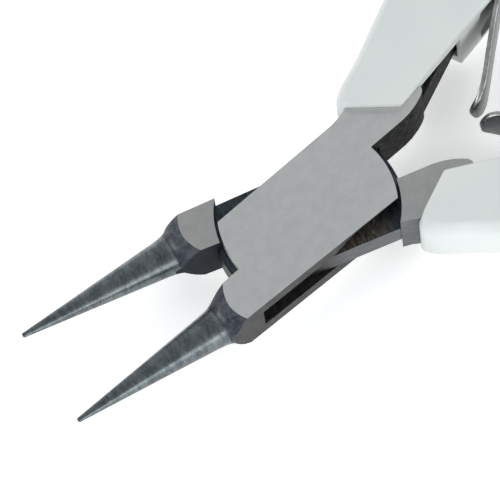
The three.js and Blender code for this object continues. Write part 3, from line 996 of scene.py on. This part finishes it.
def leaf_mesh():
    """The strip with a half-round tip, its sections closer together towards that tip."""
    line = leaf_line()
    lengths = [0]
    for a, b in zip(line, line[1:]):
        lengths.append(lengths[-1] + (b - a).length)
    total = lengths[-1]
    rings = []
    for k in range(LEAF_STATIONS + 1):
        reach = total * math.sin(math.pi / 2 * k / LEAF_STATIONS)
        point, along = point_along(line, lengths, reach)
        across = Vector((-along.y, along.x, 0))
        beyond = max((reach - (total - LEAF_HALF_HEIGHT)) / LEAF_HALF_HEIGHT, 0)
        half = LEAF_HALF_HEIGHT * math.sqrt(max(1 - (beyond * 0.998) ** 2, 0))
        rings.append([point + across * a + Vector((0, 0, z)) for a, z in leaf_section(half)])
    leaf = loft(rings)
    cut(leaf, screw_hole(SCREW_SHANK_RADIUS + 0.15))
    return leaf


def add_leaf(side, name):
    """The strip over both of its CAD nodes. It bends smoothly from its root to its arm."""
    leaf = leaf_mesh()
    leaf.data.materials.append(SHADED_SPRING)
    leaf.data.materials.append(SPRING_EDGE_HIGHLIGHT)
    # Faces that point up or down take the light copy: painted highlight.
    for face in leaf.data.polygons:
        lit_edge = abs(face.normal.z) > 0.45
        face.material_index = int(lit_edge)
    nodes = [name + "_leaf_root", name + "_leaf_arm"]
    complete(leaf, name + "_spring_leaf", side, None, nodes)
    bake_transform(leaf)


def screw_mesh():
    """A screw with a low rounded head and a cut slot, its head's underside at y = 0."""
    radius, height = SCREW_HEAD_RADIUS, SCREW_HEAD_HEIGHT
    shank, length = SCREW_SHANK_RADIUS, SCREW_LENGTH
    profile = [
        (0, -length), (shank - 0.15, -length), (shank, -length + 0.15), (shank, 0), (radius - 0.05, 0),
        (radius, 0.06), (radius, height * 0.55), (radius * 0.95, height * 0.7),
        (radius * 0.84, height * 0.84), (radius * 0.6, height * 0.95), (radius * 0.3, height), (0, height),
    ]
    screw = lathe(profile, 96)
    reach = radius + 1
    width = SCREW_SLOT_HALF_WIDTH
    cut(screw, block(-reach, reach, height - SCREW_SLOT_DEPTH, height + 1, -width, width))
    soften(screw, SCREW_ROUNDING, 2, 30, 0.005)
    return screw


def add_spring_screw(side, name):
    screw = moved(screw_mesh(), screw_place())
    screw.data.materials.append(SCREW)
    complete(screw, name + "_leaf_screw", side, name + "_side", [name + "_spring_screw"])
    even_shading(screw)


# ---- Floor and light ----

FLOOR_COLOUR = (0.95, 0.95, 0.95)
FLOOR_GLOW = 0.42
FLOOR_REACH = 6.0
SKY_COLOUR = (0.94, 0.97, 1.0)
SKY_AT_HORIZON = 0.7
SKY_OVERHEAD = 0.46

# Name, direction from the pivot, distance and size in metres, power in watts, colour.
LIGHTS = [
    ("left", (-0.9, 0.3, 0.5), 0.9, (0.7, 0.5), 2.6, (1, 1, 1)),
    ("behind", (0.6, 0.8, 0.55), 0.9, (0.7, 0.5), 2.2, (1, 1, 1)),
    ("front", (-0.15, -1, 0.33), 0.8, (1.0, 0.35), 2.3, (0.96, 0.98, 1.0)),
    ("right", (0.9, -0.6, 0.6), 0.9, (0.5, 0.5), 1.8, (1, 1, 1)),
]


def add_floor():
    """A wide pale floor under the tool, with a faint glow of its own that keeps it nearly white."""
    finish = Finish("pale_floor", FLOOR_COLOUR, 0.0, 0.8)
    finish.shader.inputs["Emission Color"].default_value = (1, 1, 1, 1)
    finish.shader.inputs["Emission Strength"].default_value = FLOOR_GLOW
    level = cad_bounds[0][2]
    corners = ((-1, -1), (1, -1), (1, 1), (-1, 1))
    vertices = [(x * FLOOR_REACH, y * FLOOR_REACH, level) for x, y in corners]
    floor = mesh_object("floor", vertices, [(0, 1, 2, 3)])
    floor.data.materials.append(finish.material)


def add_light(name, direction, distance, size, power, colour):
    """A rectangle of light that faces the pivot."""
    data = bpy.data.lights.new(name, "AREA")
    data.shape = "RECTANGLE"
    data.size, data.size_y = size
    data.energy = power
    data.color = colour
    light = bpy.data.objects.new(name, data)
    away = Vector(direction).normalized()
    light.location = pivot + away * distance
    light.rotation_euler = away.to_track_quat("Z", "Y").to_euler()
    bpy.context.collection.objects.link(light)


def add_sky():
    """An even studio sky, brighter at the horizon than overhead."""
    world = bpy.data.worlds.new("studio")
    world.use_nodes = True
    nodes = world.node_tree.nodes
    links = world.node_tree.links
    background = nodes["Background"]
    background.inputs["Color"].default_value = (*SKY_COLOUR, 1)
    direction = nodes.new("ShaderNodeTexCoord")
    parts = nodes.new("ShaderNodeSeparateXYZ")
    fade = nodes.new("ShaderNodeMapRange")
    fade.inputs["To Min"].default_value = SKY_AT_HORIZON
    fade.inputs["To Max"].default_value = SKY_OVERHEAD
    links.new(direction.outputs["Generated"], parts.inputs[0])
    links.new(parts.outputs["Z"], fade.inputs["Value"])
    links.new(fade.outputs["Result"], background.inputs["Strength"])
    bpy.context.scene.world = world
    bpy.context.scene.view_settings.view_transform = "Standard"


# ---- The tool ----

SIDES = ((1, "box"), (-1, "web"))

add_camera()
add_floor()
add_sky()
for light in LIGHTS:
    add_light(*light)
for side, name in SIDES:
    add_lever(side, name)
for side, name in SIDES:
    add_grip(side, name)
    add_leaf(side, name)
    add_spring_screw(side, name)

pin = frame["nodes"]["joint_pin"]
pin.data.materials.clear()
pin.data.materials.append(SCREW)
